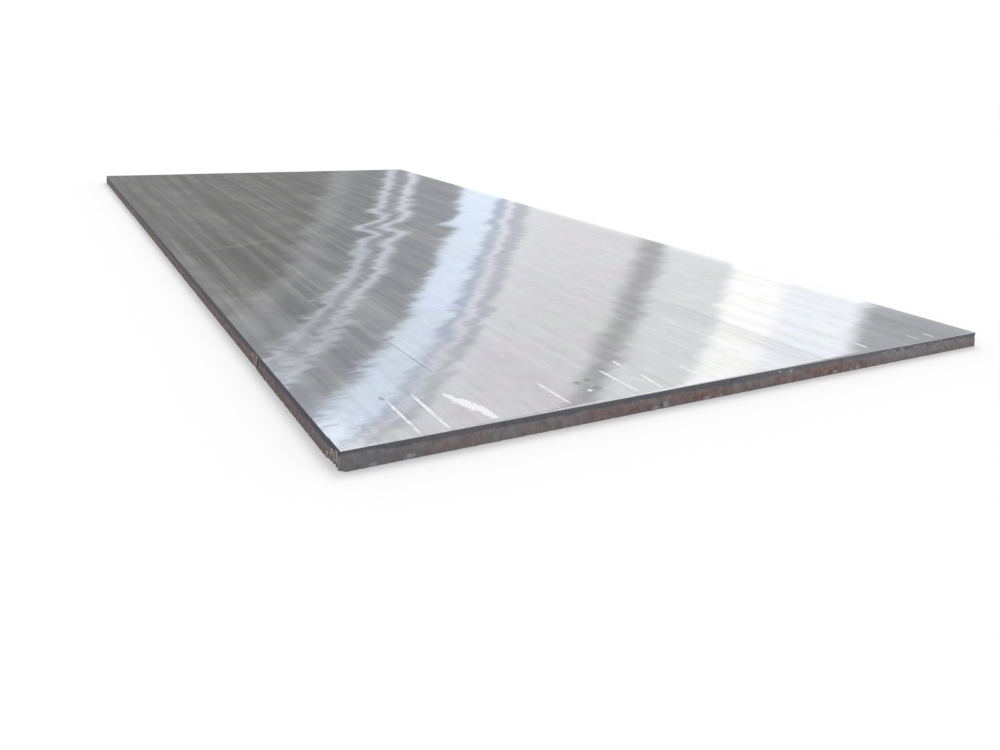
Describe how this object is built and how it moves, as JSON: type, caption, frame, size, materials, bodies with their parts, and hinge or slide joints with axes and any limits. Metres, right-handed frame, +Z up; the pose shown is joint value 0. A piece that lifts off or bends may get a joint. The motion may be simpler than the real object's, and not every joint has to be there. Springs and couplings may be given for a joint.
{
  "type": "steel plate",
  "caption": "Heavy flat rectangular steel plate with sheared edges, ground bright on its top face.",
  "frame": {"origin": "middle of the resting face, at the bounding box's bottom centre", "axes": "+Z up through the thickness, Y along the plate's length, X across its width"},
  "size_m": [2.0106, 4.489, 0.044],
  "materials": {
    "steel": "ground bright along the length, with sheared and lightly rusted edges"
  },
  "bodies": {
    "root": {"steel_plate": "steel"}
  },
  "joints": []
}
